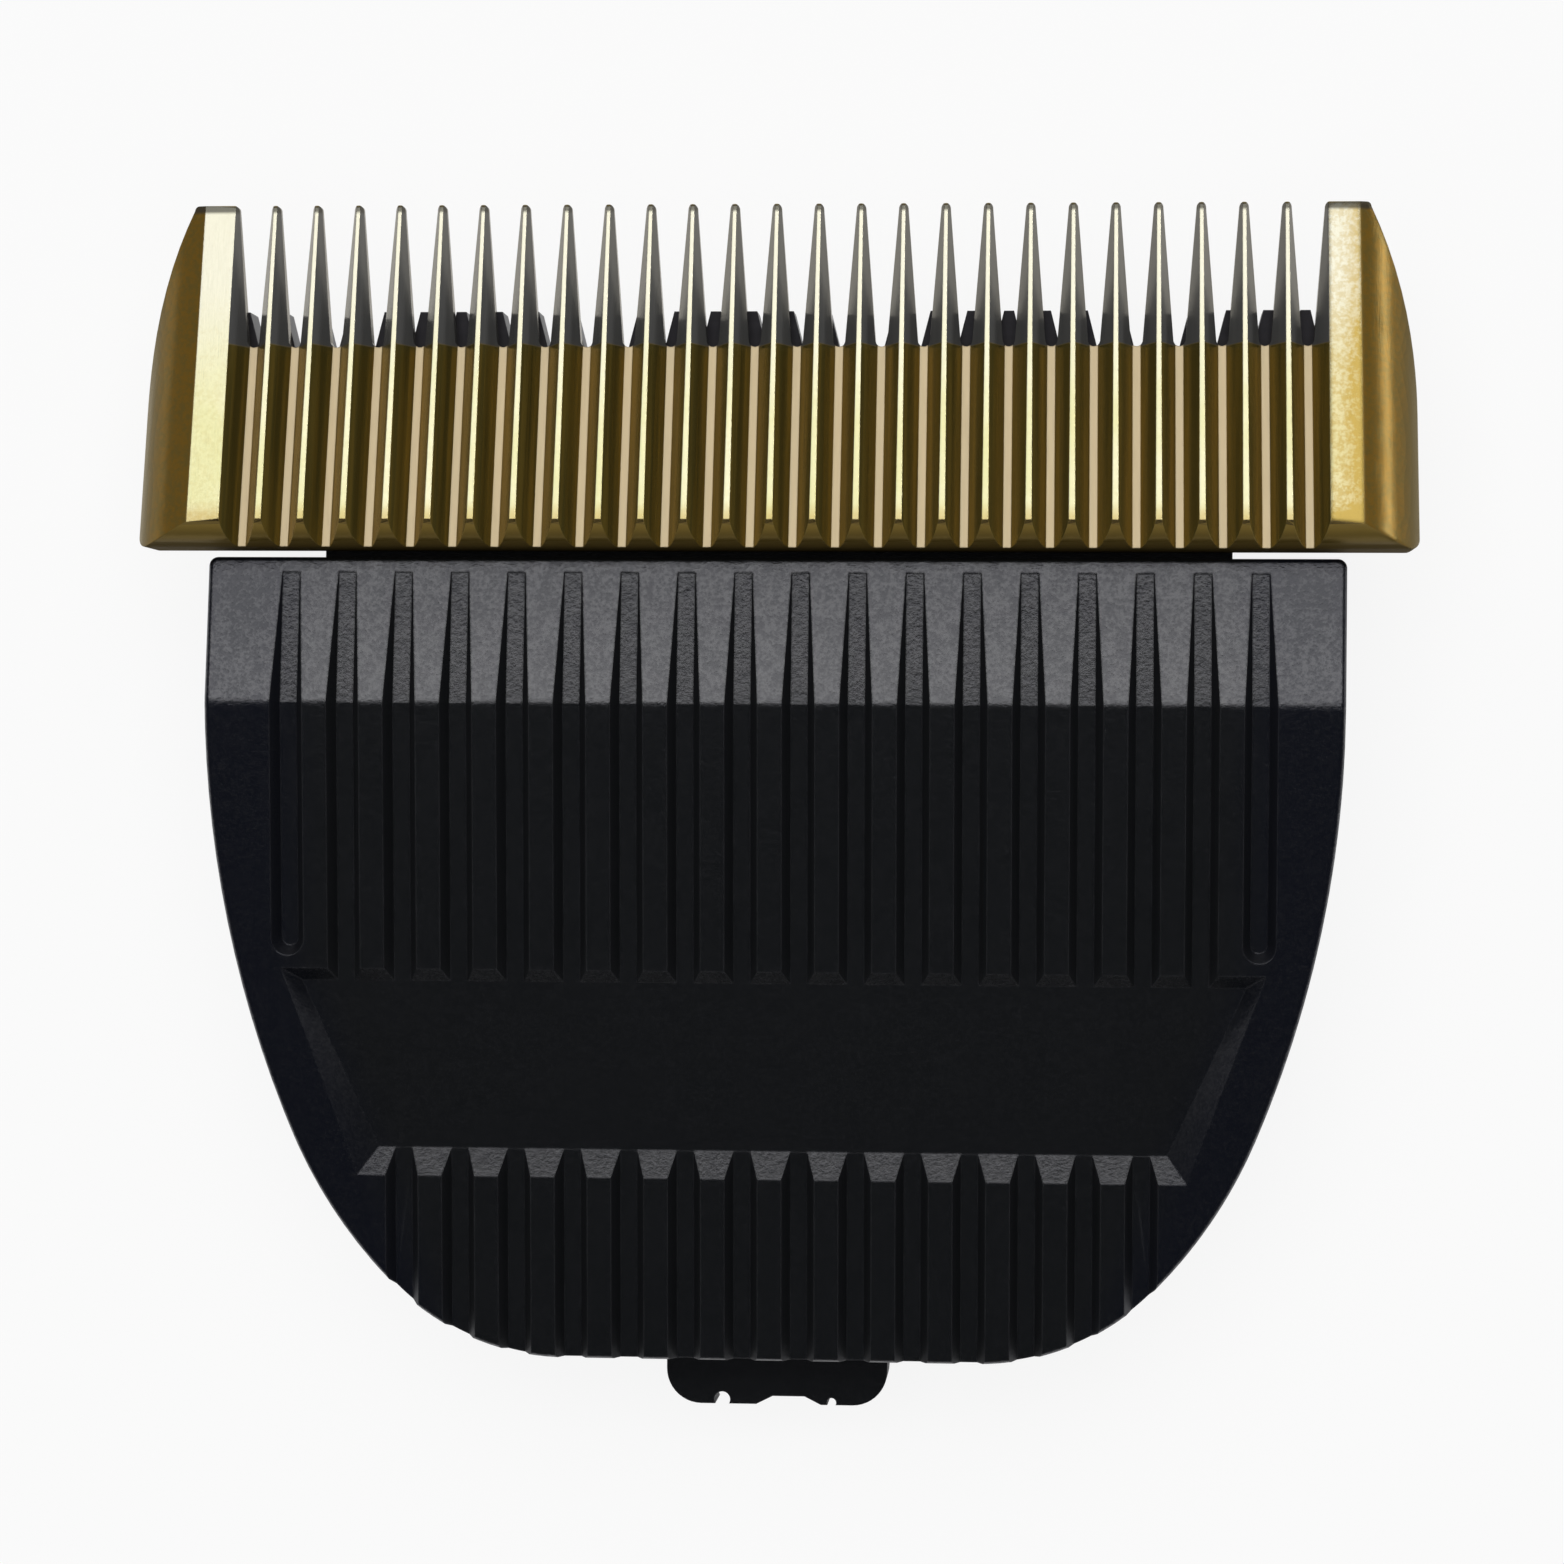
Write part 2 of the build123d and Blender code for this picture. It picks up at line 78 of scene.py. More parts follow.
# the table: half its width, how far it lies under the rim, the share of its white that no shadow reaches
TABLE_HALF = 0.6
TABLE_DROP = 0.02 * MM
TABLE_WHITE = 0.87

# pan head screws, in millimetres
SCREW_HEAD = 1.10
SCREW_SHANK_R = 1.00
SCREW_DOME_R = 5.00
SCREW_POINT = 0.25
CROSS_WIDTH = 0.40
CROSS_REACH = 0.95
CROSS_DEPTH = 0.50


class Tree:
    """A node tree with short calls to add nodes and to join them."""

    def __init__(self, tree):
        self.tree = tree

    def add(self, kind, **inputs):
        node = self.tree.nodes.new(kind)
        for name, value in inputs.items():
            self.feed(node, name.replace("_", " "), value)
        return node

    def feed(self, node, name, value):
        socket = node.inputs[name] if isinstance(name, (str, int)) else name
        if isinstance(value, bpy.types.NodeSocket):
            self.tree.links.new(value, socket)
        elif isinstance(value, bpy.types.Node):
            self.tree.links.new(value.outputs[0], socket)
        else:
            socket.default_value = value

    def math(self, operation, *values, clamp=False):
        node = self.tree.nodes.new("ShaderNodeMath")
        node.operation = operation
        node.use_clamp = clamp
        for i, value in enumerate(values):
            self.feed(node, i, value)
        return node.outputs[0]

    def vector(self, operation, *values):
        node = self.tree.nodes.new("ShaderNodeVectorMath")
        node.operation = operation
        for i, value in enumerate(values):
            self.feed(node, i, value)
        return node.outputs["Value" if operation in ("DOT_PRODUCT", "LENGTH") else "Vector"]

    def between(self, value, low, high):
        """0 below low, 1 above high, smooth in between; low may be above high."""
        node = self.tree.nodes.new("ShaderNodeMapRange")
        node.interpolation_type = "SMOOTHSTEP"
        flip = low > high
        for i, part in enumerate((value, min(low, high), max(low, high), float(flip), float(not flip))):
            self.feed(node, i, part)
        return node.outputs[0]

    def scaled(self, value, low, high):
        """a 0 to 1 value spread over low to high"""
        node = self.tree.nodes.new("ShaderNodeMapRange")
        for i, part in enumerate((value, 0.0, 1.0, low, high)):
            self.feed(node, i, part)
        return node.outputs[0]

    def mix(self, factor, a, b):
        node = self.tree.nodes.new("ShaderNodeMix")
        node.data_type = "RGBA"
        colours = [s for s in node.inputs if s.type == "RGBA"]
        self.feed(node, 0, factor)
        self.feed(node, colours[0], a)
        self.feed(node, colours[1], b)
        return next(s for s in node.outputs if s.type == "RGBA")

    def noise(self, where, scale, detail=2.0, rough=0.5):
        node = self.add("ShaderNodeTexNoise", Vector=where, Scale=scale, Detail=detail, Roughness=rough)
        return node.outputs["Fac"]

    def place(self):
        return self.add("ShaderNodeTexCoord").outputs["Object"]

    def facing(self):
        return self.add("ShaderNodeNewGeometry").outputs["True Normal"]

    def parts(self, vector):
        return self.add("ShaderNodeSeparateXYZ", Vector=vector).outputs

    def without(self, value):
        return self.math("SUBTRACT", 1.0, value)

    def group(self, made, **inputs):
        node = self.tree.nodes.new("ShaderNodeGroup")
        node.node_tree = made
        for name, value in inputs.items():
            self.feed(node, name.replace("_", " "), value)
        return node


def rgb(r, g, b):
    return (r, g, b, 1.0)


def new_group(name, inputs, outputs):
    made = bpy.data.node_groups.new(name, "ShaderNodeTree")
    for label, kind, value in inputs:
        socket = made.interface.new_socket(label, in_out="INPUT", socket_type=kind)
        socket.default_value = value
    for label, kind in outputs:
        made.interface.new_socket(label, in_out="OUTPUT", socket_type=kind)
    tree = Tree(made)
    return made, tree, tree.add("NodeGroupInput").outputs, tree.add("NodeGroupOutput")


FLOAT = "NodeSocketFloat"
VECTOR = "NodeSocketVector"


# a lighter line along sharp edges, broken up by noise: partly wear, partly a painted highlight
def edge_wear_and_highlight_group():
    made, t, given, out = new_group(
        "edge wear and highlight",
        [("Width", FLOAT, 0.0001), ("Breakup", FLOAT, 900.0)],
        [("Mask", FLOAT), ("Rounded", VECTOR)],
    )
    round_edge = t.add("ShaderNodeBevel", Radius=given["Width"])
    round_edge.samples = 4
    flat = t.add("ShaderNodeNewGeometry").outputs["Normal"]
    turn = t.without(t.vector("DOT_PRODUCT", round_edge, flat))
    patch = t.noise(t.place(), given["Breakup"], 3.0, 0.6)
    worn = t.math("MULTIPLY", t.between(turn, 0.02, 0.22), t.between(patch, 0.36, 0.62))
    t.feed(out, "Mask", worn)
    t.feed(out, "Rounded", round_edge)
    return made


# fine grain of a spark-eroded mould or a blasted surface: speckle mask and height
def grain_group():
    made, t, given, out = new_group(
        "fine grain",
        [("Size", FLOAT, 0.0002)],
        [("Speckle", FLOAT), ("Height", FLOAT), ("Cloud", FLOAT)],
    )
    scale = t.math("DIVIDE", 1.0, given["Size"])
    where = t.place()
    fine = t.noise(where, scale, 3.0, 0.65)
    coarse = t.noise(where, t.math("MULTIPLY", scale, 0.31), 2.0, 0.5)
    t.feed(out, "Speckle", t.between(fine, 0.52, 0.72))
    t.feed(out, "Height", t.math("ADD", t.math("MULTIPLY", fine, 0.7), t.math("MULTIPLY", coarse, 0.3)))
    t.feed(out, "Cloud", t.noise(where, t.math("MULTIPLY", scale, 0.045), 3.0, 0.55))
    return made


# grinding lines drawn along one axis: stretch is the scale across x, y and z after a tilt about x
def ground_group():
    made, t, given, out = new_group(
        "ground lines",
        [("Stretch", VECTOR, (1.0, 1.0, 1.0)), ("Tilt", FLOAT, 0.0)],
        [("Lines", FLOAT), ("Streak", FLOAT)],
    )
    turned = t.tree.nodes.new("ShaderNodeVectorRotate")
    turned.rotation_type = "X_AXIS"
    t.feed(turned, "Vector", t.place())
    t.feed(turned, "Angle", given["Tilt"])
    drawn = t.vector("MULTIPLY", turned, given["Stretch"])
    t.feed(out, "Lines", t.noise(drawn, 1.0, 4.0, 0.7))
    t.feed(out, "Streak", t.noise(t.vector("MULTIPLY", drawn, (0.13, 0.13, 0.13)), 1.0, 2.0, 0.5))
    return made


edge_wear_and_highlight = edge_wear_and_highlight_group()
fine_grain = grain_group()
ground_lines = ground_group()


def new_material(name):
    made = bpy.data.materials.new(name)
    made.use_nodes = True
    tree = made.node_tree
    tree.nodes.clear()
    t = Tree(tree)
    shader = t.add("ShaderNodeBsdfPrincipled")
    out = t.add("ShaderNodeOutputMaterial", Surface=shader)
    out.is_active_output = True
    return made, t, shader


def bumped(t, height, distance, strength, normal):
    return t.add("ShaderNodeBump", Height=height, Distance=distance, Strength=strength, Normal=normal).outputs[0]


def black_plastic():
    made, t, shader = new_material("black moulded plastic")
    grain = t.group(fine_grain, Size=0.00013)
    edge = t.group(edge_wear_and_highlight, Width=0.00009, Breakup=700.0)
    height = grain.outputs["Height"]
    x, y = t.parts(t.place())[:2]
    wall = t.between(t.math("ABSOLUTE", t.parts(t.facing())[2]), 0.62, 0.42)
    narrowing = t.math("MULTIPLY", t.math("MAXIMUM", t.math("SUBTRACT", PANEL_TOP_Y, y), 0.0), PANEL_SLANT)
    margin = t.between(t.math("ADD", t.math("ABSOLUTE", x), narrowing), MARGIN_FROM_X, MARGIN_FULL_X)
    base = t.mix(grain.outputs["Cloud"], rgb(0.0034, 0.0042, 0.0048), rgb(0.0048, 0.0056, 0.0064))
    base = t.mix(t.math("MULTIPLY", margin, 0.8), base, rgb(0.0022, 0.0032, 0.0076))
    base = t.mix(t.math("MULTIPLY", grain.outputs["Speckle"], 0.5), base, rgb(0.007, 0.0075, 0.0095))
    base = t.mix(t.math("MULTIPLY", edge.outputs["Mask"], 0.6), base, rgb(0.022, 0.023, 0.026))
    t.feed(shader, "Base Color", base)
    t.feed(shader, "Roughness", t.math("ADD", t.scaled(height, 0.13, 0.29), t.math("MULTIPLY", wall, 0.40)))
    # painted sheen: the clear coat stronger towards the lower end of the sloped strip and weaker on the margin, plus
    # gloss speckle from the grain
    gloss_and_painted_sheen = t.scaled(t.between(y, STRIP_TOP_Y, STRIP_LOW_Y), 0.0, 0.22)
    gloss_and_painted_sheen = t.math("SUBTRACT", gloss_and_painted_sheen, t.math("MULTIPLY", margin, 0.15))
    gloss_and_painted_sheen = t.math("ADD", gloss_and_painted_sheen, t.math("MULTIPLY", t.between(height, 0.40, 0.62), 0.40), clamp=True)
    t.feed(shader, "Coat Weight", t.math("MULTIPLY", gloss_and_painted_sheen, t.without(wall)))
    shader.inputs["Coat Roughness"].default_value = 0.2
    shader.inputs["Coat IOR"].default_value = 1.8
    shader.inputs["Specular IOR Level"].default_value = 0.34
    shader.inputs["IOR"].default_value = 1.85
    shader.inputs["Specular Tint"].default_value = rgb(0.93, 0.93, 1.0)
    t.feed(shader, "Normal", bumped(t, height, 0.00006, 0.4, edge.outputs["Rounded"]))
    return made


# masks that tell the comb's faces apart by place and by the way they face; several of them place painted light and
# shade
def comb_faces(t):
    x, y, z = t.parts(t.place())
    facing = t.facing()
    turn_x, turn_y = t.parts(facing)[:2]
    sideways = t.math("ABSOLUTE", turn_x)
    slope = (0.0, math.sin(COMB_SLOPE), math.cos(COMB_SLOPE))
    on_slope = t.between(t.vector("DOT_PRODUCT", facing, slope), 0.975, 0.992)
    steep = t.between(sideways, 0.5, 0.7)
    rise = t.math("MULTIPLY", t.math("SUBTRACT", comb_high.y, y), math.tan(COMB_SLOPE))
    depth = t.math("SUBTRACT", t.math("ADD", SEAT_Z + CREST_TIP, rise), z)
    deep = t.between(depth, 0.5 * FLOOR_DEPTH, 0.8 * FLOOR_DEPTH)
    out = t.math("ABSOLUTE", x)
    inner = t.math("MULTIPLY", steep, t.between(out, LAND_OUT + 0.2 * MM, LAND_OUT))
    free = t.between(y, SLOT_ROOT_Y - 0.8 * SOFT, SLOT_ROOT_Y + 0.8 * SOFT)
    side = t.math("MULTIPLY", t.between(out, LAND_OUT - SOFT, LAND_OUT + SOFT), t.between(sideways, 0.12, 0.30))
    chamfer = t.between(turn_y, -0.20, -0.45)
    land = t.between(x, LAND_IN - SOFT, LAND_IN + SOFT)
    across = t.scaled(t.between(x, LAND_IN + 0.2 * MM, LAND_OUT + 0.1 * MM), 0.25, 1.1)
    across = t.math("MULTIPLY", across, land)
    down = t.math("MULTIPLY", land, t.between(y, comb_high.y - 2.0 * MM, comb_high.y - 6.0 * MM))
    return {
        "crest": t.math("MULTIPLY", on_slope, t.without(deep)),
        "floor": t.math("MULTIPLY", on_slope, deep),
        # painted highlight: crests paler and whiter towards the tips
        "upper": t.between(y, SLOT_ROOT_Y - 3.0 * MM, SLOT_ROOT_Y + 2.5 * MM),
        "bare": t.math("MULTIPLY", inner, free),
        "flank": t.math("MULTIPLY", inner, t.without(free)),
        "bevel": t.math("MAXIMUM", side, chamfer),
        "chamfer": chamfer,
        "low": t.between(y, HEEL_Y - 0.10 * MM, comb_low.y + 0.15 * MM),
        "rim": t.between(sideways, 0.60, 0.85),
        "heel wall": t.between(turn_y, -0.80, -0.94),
        "tip": t.between(y, comb_high.y - 0.32 * MM, comb_high.y - 0.18 * MM),
        # painted shade: crests darker gold towards the heel
        "heel": t.between(y, HEEL_Y + 0.70 * MM, HEEL_Y),
        "land": land,
        "far land": t.between(x, SOFT - LAND_IN, -SOFT - LAND_IN),
        # painted shade: the right land darker gold across it and down it
        "painted shade on right land": t.math("ADD", t.math("MULTIPLY", across, 0.65), t.math("MULTIPLY", down, 0.35)),
    }


def comb_gold():
    made, t, shader = new_material("gold coated comb")
    faces = comb_faces(t)
    grain = t.group(fine_grain, Size=0.00016)
    lines = t.group(ground_lines, Stretch=(26000.0, 900.0, 26000.0), Tilt=COMB_SLOPE)
    edge = t.group(edge_wear_and_highlight, Width=t.scaled(faces["land"], 0.00005, 0.00022), Breakup=1200.0)
    streak, cloud = lines.outputs["Streak"], grain.outputs["Cloud"]
    spots = t.math("SUBTRACT", t.between(grain.outputs["Height"], 0.40, 0.60), 0.5)
    mottle = t.math("ADD", t.scaled(faces["land"], 0.07, 0.42), t.math("MULTIPLY", faces["far land"], 0.10))
    spots = t.math("MULTIPLY", spots, mottle)
    # crest colour between pale and darker gold: mottle from the grain, painted shade on the right land and towards
    # the heel, a painted highlight towards the tips
    mottle_and_painted_light = t.math("ADD", t.math("ADD", faces["painted shade on right land"], spots), t.scaled(faces["upper"], 0.05, -0.05))
    mottle_and_painted_light = t.math("ADD", mottle_and_painted_light, t.math("MULTIPLY", faces["heel"], 0.6), clamp=True)
    pale = t.mix(t.between(cloud, 0.32, 0.68), rgb(0.55, 0.53, 0.29), rgb(0.61, 0.585, 0.39))
    # painted highlight: the crests whiter towards the tips
    pale = t.mix(faces["upper"], pale, rgb(0.595, 0.575, 0.46))
    # painted shade: the groove flanks a darker olive gold than the coat
    flank_painted_shade = t.mix(t.between(streak, 0.38, 0.62), rgb(0.285, 0.207, 0.046), rgb(0.185, 0.147, 0.038))
    # painted shade: the side bevels a dark bronze instead of the coat's gold
    bevel_painted_light = t.mix(t.between(grain.outputs["Height"], 0.38, 0.62), rgb(0.215, 0.120, 0.018), rgb(0.165, 0.112, 0.026))
    # painted shade: darker still on the steep outer rim of the bevels
    bevel_painted_light = t.mix(faces["rim"], bevel_painted_light, rgb(0.100, 0.068, 0.014))
    coat = t.mix(cloud, rgb(0.50, 0.35, 0.11), rgb(0.58, 0.42, 0.15))
    coat = t.mix(faces["crest"], coat, t.mix(mottle_and_painted_light, pale, rgb(0.40, 0.285, 0.075)))
    coat = t.mix(faces["floor"], coat, t.mix(streak, rgb(0.47, 0.37, 0.225), rgb(0.43, 0.36, 0.235)))
    coat = t.mix(faces["flank"], coat, flank_painted_shade)
    # painted highlight and shade on the heel chamfer: lighter at its upper edge, darker at its lower edge
    bevel_painted_light = t.mix(faces["chamfer"], bevel_painted_light, t.mix(faces["low"], rgb(0.30, 0.205, 0.050), rgb(0.120, 0.082, 0.020)))
    # painted shade: the heel wall dark bronze
    bevel_painted_light = t.mix(faces["heel wall"], bevel_painted_light, rgb(0.10, 0.068, 0.018))
    # bevels, chamfer and heel wall take the painted bronze shades
    coat = t.mix(faces["bevel"], coat, bevel_painted_light)
    # lighter gold along the edges: partly wear, partly a painted highlight
    coat = t.mix(t.math("MULTIPLY", edge.outputs["Mask"], 0.12), coat, rgb(0.66, 0.55, 0.30))
    coat = t.mix(faces["bare"], coat, t.mix(streak, rgb(0.105, 0.105, 0.105), rgb(0.145, 0.145, 0.140)))
    coat = t.mix(t.math("MULTIPLY", faces["tip"], 0.85), coat, rgb(0.05, 0.048, 0.04))
    t.feed(shader, "Base Color", coat)
    dull = t.math("ADD", t.math("MULTIPLY", faces["bevel"], 0.65), t.math("MULTIPLY", faces["bare"], 0.80))
    dull = t.math("ADD", dull, t.math("MULTIPLY", faces["flank"], 0.35))
    dull = t.math("ADD", dull, t.math("MULTIPLY", faces["heel wall"], 0.35), clamp=True)
    t.feed(shader, "Metallic", t.without(dull))
    shader.inputs["Specular IOR Level"].default_value = 0.25
    shader.inputs["Specular Tint"].default_value = rgb(1.0, 0.86, 0.55)
    rough = t.math("ADD", t.math("MULTIPLY", faces["floor"], 0.15), t.math("MULTIPLY", faces["heel wall"], 0.70))
    t.feed(shader, "Roughness", t.math("ADD", rough, t.scaled(lines.outputs["Lines"], 0.12, 0.28)))
    height = t.math("ADD", t.math("MULTIPLY", grain.outputs["Height"], 0.6),
                    t.math("MULTIPLY", lines.outputs["Lines"], 0.4))
    t.feed(shader, "Normal", bumped(t, height, 0.00002, 0.3, edge.outputs["Rounded"]))
    return made


def dark_cutter():
    made, t, shader = new_material("black coated cutter")
    grain = t.group(fine_grain, Size=0.00015)
    lines = t.group(ground_lines, Stretch=(1200.0, 24000.0, 24000.0))
    edge = t.group(edge_wear_and_highlight, Width=0.00006, Breakup=1500.0)
    base = t.mix(lines.outputs["Streak"], rgb(0.016, 0.015, 0.018), rgb(0.030, 0.028, 0.033))
    base = t.mix(t.math("MULTIPLY", edge.outputs["Mask"], 0.7), base, rgb(0.20, 0.20, 0.21))
    t.feed(shader, "Base Color", base)
    shader.inputs["Metallic"].default_value = 0.6
    t.feed(shader, "Roughness", t.scaled(lines.outputs["Lines"], 0.30, 0.52))
    t.feed(shader, "Normal", bumped(t, grain.outputs["Height"], 0.00001, 0.2, edge.outputs["Rounded"]))
    return made


def acetal():
    made, t, shader = new_material("natural acetal moulding")
    grain = t.group(fine_grain, Size=0.00030)
    edge = t.group(edge_wear_and_highlight, Width=0.00012, Breakup=600.0)
    base = t.mix(grain.outputs["Cloud"], rgb(0.66, 0.63, 0.56), rgb(0.74, 0.72, 0.66))
    base = t.mix(t.math("MULTIPLY", edge.outputs["Mask"], 0.4), base, rgb(0.82, 0.81, 0.77))
    t.feed(shader, "Base Color", base)
    t.feed(shader, "Roughness", t.scaled(grain.outputs["Height"], 0.32, 0.55))
    shader.inputs["Subsurface Weight"].default_value = 0.12
    shader.inputs["Subsurface Radius"].default_value = (0.0006, 0.0005, 0.0004)
    t.feed(shader, "Normal", bumped(t, grain.outputs["Height"], 0.00002, 0.2, edge.outputs["Rounded"]))
    return made


# bright steel: colour pair, the stretch of its drawing or grinding lines, roughness pair
def steel(name, dark, light, stretch, rough):
    made, t, shader = new_material(name)
    lines = t.group(ground_lines, Stretch=stretch)
    grain = t.group(fine_grain, Size=0.00025)
    edge = t.group(edge_wear_and_highlight, Width=0.00006, Breakup=1100.0)
    base = t.mix(lines.outputs["Streak"], dark, light)
    base = t.mix(t.math("MULTIPLY", t.between(grain.outputs["Cloud"], 0.56, 0.70), 0.4), base, rgb(0.30, 0.29, 0.27))
    base = t.mix(edge.outputs["Mask"], base, rgb(0.78, 0.78, 0.78))
    t.feed(shader, "Base Color", base)
    shader.inputs["Metallic"].default_value = 1.0
    t.feed(shader, "Roughness", t.scaled(lines.outputs["Lines"], *rough))
    t.feed(shader, "Normal", bumped(t, lines.outputs["Lines"], 0.00001, 0.2, edge.outputs["Rounded"]))
    return made


# a pair of domed cross-recess screws: heads down, shanks up, side by side along x
def screw_tree():
    made = bpy.data.node_groups.new("screw pair", "GeometryNodeTree")
    for label in ("Head Radius", "Head Height", "Dome Radius", "Shank Radius", "Shank Length", "Point", "Cross Width",
                  "Cross Reach", "Cross Depth", "Spacing"):
        made.interface.new_socket(label, in_out="INPUT", socket_type=FLOAT)
    made.interface.new_socket("Place", in_out="INPUT", socket_type=VECTOR)
    made.interface.new_socket("Finish", in_out="INPUT", socket_type="NodeSocketMaterial")
    made.interface.new_socket("Geometry", in_out="OUTPUT", socket_type="NodeSocketGeometry")
    t = Tree(made)
    given = t.add("NodeGroupInput").outputs
    out = t.add("NodeGroupOutput")

    def along_z(height):
        return t.add("ShaderNodeCombineXYZ", Z=height).outputs[0]

    def moved(mesh, height):
        return t.add("GeometryNodeTransform", Geometry=mesh, Translation=along_z(height))

    def joined(operation, first, *others):
        node = t.tree.nodes.new("GeometryNodeMeshBoolean")
        node.operation = operation
        if operation == "DIFFERENCE":
            t.feed(node, "Mesh 1", first)
        else:
            others = (first,) + others
        for other in others:
            t.feed(node, "Mesh 2", other)
        return node.outputs["Mesh"]

    def rod(sides, radius, length):
        return t.add("GeometryNodeMeshCylinder", Vertices=sides, Radius=radius, Depth=length).outputs["Mesh"]

    head_height, shank_length, point = given["Head Height"], given["Shank Length"], given["Point"]
    crown = t.math("MULTIPLY", head_height, -1.0)
    head = moved(rod(64, given["Head Radius"], head_height), t.math("MULTIPLY", crown, 0.5))
    ball = t.add("GeometryNodeMeshUVSphere", Segments=64, Rings=96, Radius=given["Dome Radius"])
    head = joined("INTERSECT", head, moved(ball, t.math("ADD", crown, given["Dome Radius"])))
    wide, long = given["Cross Width"], t.math("MULTIPLY", given["Cross Reach"], 2.0)
    for size_x, size_y, deep in ((wide, long, 2.0), (long, wide, 2.04)):
        size = t.add("ShaderNodeCombineXYZ", X=size_x, Y=size_y, Z=t.math("MULTIPLY", given["Cross Depth"], deep))
        head = joined("DIFFERENCE", head, moved(t.add("GeometryNodeMeshCube", Size=size).outputs["Mesh"], crown))
    root = t.math("MULTIPLY", head_height, 0.3)
    straight = t.math("SUBTRACT", shank_length, point)
    shank = moved(rod(48, given["Shank Radius"], t.math("ADD", straight, root)),
                  t.math("MULTIPLY", t.math("SUBTRACT", straight, root), 0.5))
    tip = t.add("GeometryNodeMeshCone", Vertices=48, Radius_Bottom=given["Shank Radius"], Depth=point,
                Radius_Top=t.math("SUBTRACT", given["Shank Radius"], point)).outputs["Mesh"]
    screw = joined("UNION", head, shank, moved(tip, straight))
    screw = t.add("GeometryNodeMergeByDistance", Geometry=screw, Distance=0.004)
    row = t.tree.nodes.new("GeometryNodeMeshLine")
    row.mode = "END_POINTS"
    half = t.math("MULTIPLY", given["Spacing"], 0.5)
    t.feed(row, "Count", 2)
    t.feed(row, "Start Location", t.add("ShaderNodeCombineXYZ", X=t.math("MULTIPLY", half, -1.0)))
    t.feed(row, "Offset", t.add("ShaderNodeCombineXYZ", X=half))
    pair = t.add("GeometryNodeInstanceOnPoints", Points=row, Instance=screw)
    pair = t.add("GeometryNodeTransform", Geometry=pair, Scale=(MM, MM, MM), Translation=given["Place"])
    pair = t.add("GeometryNodeRealizeInstances", Geometry=pair)
    t.feed(out, "Geometry", t.add("GeometryNodeSetMaterial", Geometry=pair, Material=given["Finish"]))
    return made


def screw_pair(label, node, tree, finish):
    low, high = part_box(node)
    head_r = (high.y - low.y) / 2 / MM
    sizes = {
        "Head Radius": head_r, "Head Height": SCREW_HEAD, "Dome Radius": SCREW_DOME_R,
        "Shank Radius": SCREW_SHANK_R, "Shank Length": (high.z - low.z) / MM - SCREW_HEAD, "Point": SCREW_POINT,
        "Cross Width": CROSS_WIDTH, "Cross Reach": CROSS_REACH, "Cross Depth": CROSS_DEPTH,
        "Spacing": (high.x - low.x) / MM - 2 * head_r, "Finish": finish,
        "Place": ((low.x + high.x) / 2, (low.y + high.y) / 2, low.z + SCREW_HEAD * MM),
    }
    made = bpy.data.objects.new(label, bpy.data.meshes.new(label))
    bpy.context.scene.collection.objects.link(made)
    build = made.modifiers.new("screws", "NODES")
    build.node_group = tree
    for socket in tree.interface.items_tree:
        if socket.in_out == "INPUT":
            build[socket.identifier] = sizes[socket.name]
    graph = bpy.context.evaluated_depsgraph_get()
    mesh = bpy.data.meshes.new_from_object(made.evaluated_get(graph), depsgraph=graph)
    made.modifiers.clear()
    made.data = mesh
    mesh.shade_smooth()
    mesh.set_sharp_from_angle(angle=math.radians(35))
    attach(made, "head")
    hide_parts(node)


def dress(name, material):
    mesh = nodes[name].data
    mesh.materials.clear()
    mesh.materials.append(material)


screw_steel = steel("bright screw steel", rgb(0.46, 0.46, 0.47), rgb(0.62, 0.62, 0.62),
                    (9000.0, 9000.0, 1500.0), (0.22, 0.42))
dress("housing", black_plastic())
dress("comb_blade", comb_gold())
dress("cutter_blade", dark_cutter())
dress("cutter_carrier", acetal())
dress("tension_spring", steel("drawn spring wire", rgb(0.40, 0.40, 0.41), rgb(0.58, 0.58, 0.59),
                              (9000.0, 700.0, 9000.0), (0.18, 0.34)))
dress("spring_retainer", steel("stamped sheet steel", rgb(0.44, 0.44, 0.44), rgb(0.60, 0.60, 0.60),
                               (800.0, 12000.0, 12000.0), (0.26, 0.46)))
screws = screw_tree()
screw_pair("comb_fixing_screws", "comb_screws", screws, screw_steel)
screw_pair("retainer_fixing_screws", "retainer_screws", screws, screw_steel)


